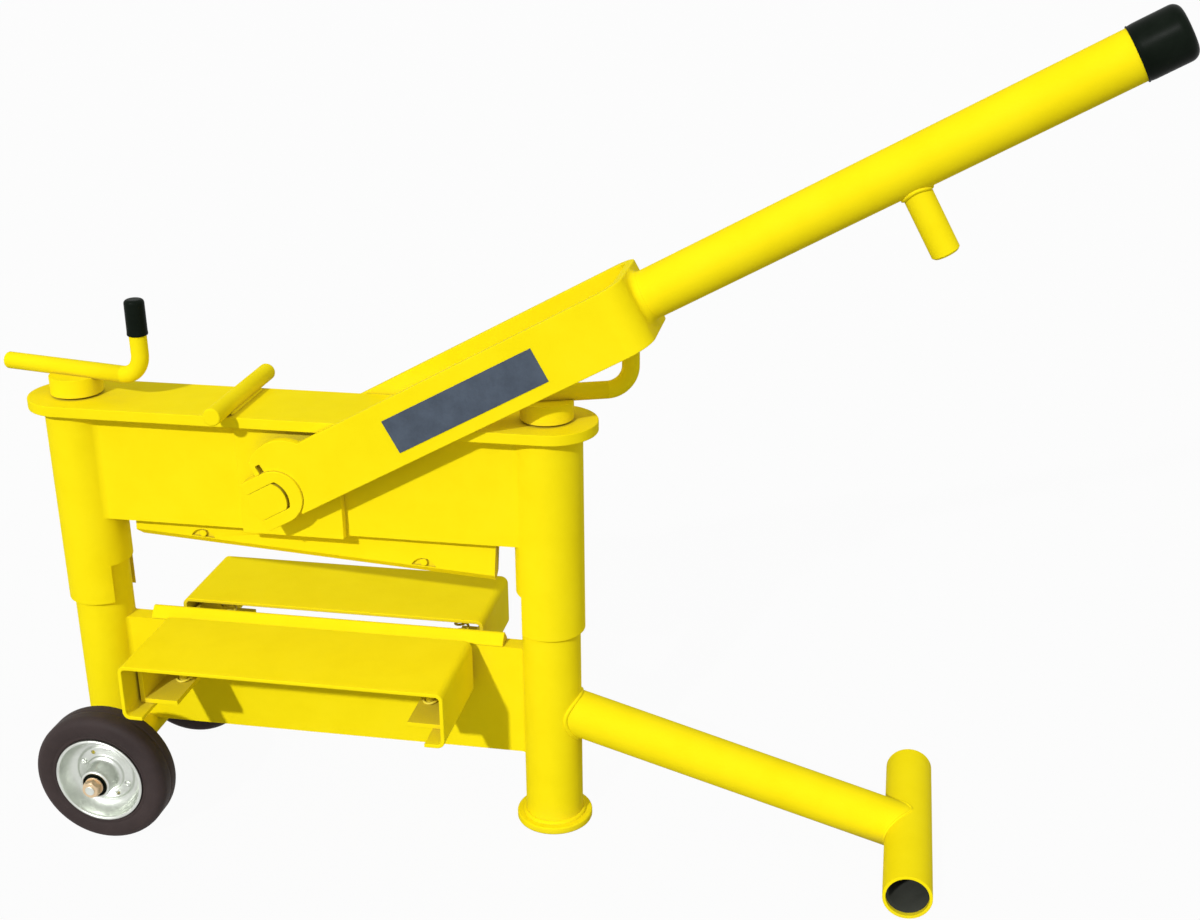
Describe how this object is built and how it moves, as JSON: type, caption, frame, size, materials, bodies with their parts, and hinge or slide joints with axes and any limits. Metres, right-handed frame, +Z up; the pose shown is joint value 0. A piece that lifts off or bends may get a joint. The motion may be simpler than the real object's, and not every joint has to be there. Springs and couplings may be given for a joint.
{
  "type": "paving stone splitter",
  "caption": "Lever-operated paving stone splitter: screw-set yoke on two posts, cam-pressed upper blade, fixed lower blade, sprung tables, outrigger and transport wheels.",
  "frame": {"origin": "centre of the foot disc's underside, on the ground under the right-hand post", "axes": "+Z up; -X towards the left post and the wheels, +X towards the outrigger and the lever's handle; -Y towards the front, where the name plate is"},
  "size_m": [1.1401, 0.2954, 0.8488],
  "materials": {
    "yellow_paint": "gloss powder coat",
    "shaft_paint": "thin gloss paint on steel",
    "bare_steel": "oiled",
    "spring_steel": "thin yellow paint on wire",
    "zinc": "bright zinc plate",
    "yellow_zinc": "yellow zinc plate",
    "black_rubber": "smooth dipped",
    "tyre": "matt",
    "name_plate": "satin film"
  },
  "bodies": {
    "frame": {"left_post": "yellow_paint", "right_post": "yellow_paint", "foot_disc": "yellow_paint", "beam": "yellow_paint", "lower_blade": "yellow_paint", "front_left_arm": "yellow_paint", "front_right_arm": "yellow_paint", "rear_left_arm": "yellow_paint", "rear_right_arm": "yellow_paint", "left_nut": "bare_steel", "right_nut": "bare_steel", "outrigger_leg": "yellow_paint", "outrigger_foot": "yellow_paint", "axle_tube": "yellow_paint", "axle_rod": "zinc", "axle_nuts": "yellow_zinc"},
    "yoke": {"top_plate": "yellow_paint", "front_plate": "yellow_paint", "rear_plate": "yellow_paint", "left_sleeve": "yellow_paint", "right_sleeve": "yellow_paint", "front_block": "yellow_paint", "rear_block": "yellow_paint", "stop_pin": "yellow_paint"},
    "left_crank": {"left_spindle": "bare_steel", "left_hub": "yellow_paint", "left_rod": "yellow_paint", "left_grip": "black_rubber"},
    "right_crank": {"right_spindle": "bare_steel", "right_hub": "yellow_paint", "right_rod": "yellow_paint", "right_grip": "black_rubber"},
    "lever": {"fork": "yellow_paint", "front_jaw": "yellow_paint", "rear_jaw": "yellow_paint", "cam_shaft": "shaft_paint", "lever_tube": "yellow_paint", "end_cap": "black_rubber", "rest_peg": "yellow_paint", "label_plate": "name_plate"},
    "hanger": {"hanger": "bare_steel", "tilt_pin": "bare_steel"},
    "blade": {"blade_holder": "yellow_paint", "upper_blade": "yellow_paint", "blade_bolts": "yellow_paint"},
    "front_table": {"front_table": "yellow_paint", "front_left_spring": "spring_steel", "front_right_spring": "spring_steel"},
    "rear_table": {"rear_table": "yellow_paint", "rear_left_spring": "spring_steel", "rear_right_spring": "spring_steel"},
    "front_wheel": {"front_tyre": "tyre", "front_rim": "zinc", "front_rim_bolts": "zinc"},
    "rear_wheel": {"rear_tyre": "tyre", "rear_rim": "zinc", "rear_rim_bolts": "zinc"}
  },
  "joints": [
    {"name": "yoke_slide", "type": "slide", "parent": "frame", "child": "yoke", "axis": [0, 0, 1], "range_m": [-0.032, 0.048]},
    {"name": "left_crank_turn", "type": "hinge", "parent": "yoke", "child": "left_crank", "pos_m": [-0.493, 0, 0.46], "axis": [0, 0, 1], "range_deg": [-2880, 4320]},
    {"name": "right_crank_turn", "type": "hinge", "parent": "yoke", "child": "right_crank", "pos_m": [0, 0, 0.46], "axis": [0, 0, 1], "range_deg": [-42, 2]},
    {"name": "lever_swing", "type": "hinge", "parent": "yoke", "child": "lever", "pos_m": [-0.2705, 0, 0.3699], "axis": [0, -1, 0], "range_deg": [-46, 59.5]},
    {"name": "blade_slide", "type": "slide", "parent": "yoke", "child": "hanger", "axis": [0, 0, 1], "range_m": [-0.0066, 0.0085]},
    {"name": "blade_tilt", "type": "hinge", "parent": "hanger", "child": "blade", "pos_m": [-0.2705, 0, 0.3279], "axis": [0, -1, 0], "range_deg": [-1.4, 8.6]},
    {"name": "front_table_slide", "type": "slide", "parent": "frame", "child": "front_table", "axis": [0, 0, 1], "range_m": [-0.009, 0], "stiffness_N_per_m": 6000, "springref_m": 0.008, "deforming": ["front_left_spring", "front_right_spring"]},
    {"name": "rear_table_slide", "type": "slide", "parent": "frame", "child": "rear_table", "axis": [0, 0, 1], "range_m": [-0.009, 0], "stiffness_N_per_m": 6000, "springref_m": 0.008, "deforming": ["rear_left_spring", "rear_right_spring"]},
    {"name": "front_wheel_roll", "type": "hinge", "parent": "frame", "child": "front_wheel", "pos_m": [-0.4551, -0.109, 0.0715], "axis": [0, 1, 0], "continuous": true},
    {"name": "rear_wheel_roll", "type": "hinge", "parent": "frame", "child": "rear_wheel", "pos_m": [-0.4551, 0.109, 0.0715], "axis": [0, 1, 0], "continuous": true}
  ],
  "couplings": [
    {"joint": "yoke_slide", "follows": "left_crank_turn", "m_per_rad": 0.00063662},
    {"joint": "blade_slide", "follows": "lever_swing", "m_per_rad": 0.008}
  ]
}
